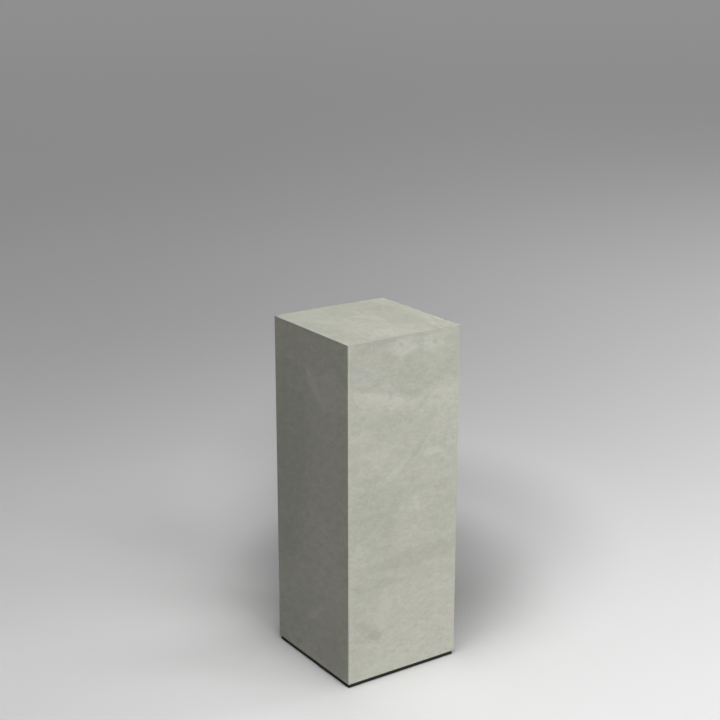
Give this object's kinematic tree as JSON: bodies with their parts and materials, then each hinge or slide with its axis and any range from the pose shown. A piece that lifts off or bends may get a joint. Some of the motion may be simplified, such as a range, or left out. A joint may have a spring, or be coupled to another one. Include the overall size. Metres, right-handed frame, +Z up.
{
  "type": "display plinth",
  "caption": "Tall square plinth with a grey cement finish and plain flat faces, hollow and open below, floating on a set-back black base frame; it lifts a display piece to view.",
  "frame": {"origin": "on the floor, under the middle of the plinth", "axes": "+Z up along the plinth's height, X and Y square to its four faces, -Y out of the front face"},
  "size_m": [0.3, 0.3, 0.81],
  "materials": {
    "cement_finish": "matte",
    "black_paint": "matte"
  },
  "bodies": {
    "root": {"body": "cement_finish", "base_frame": "black_paint"}
  },
  "joints": []
}
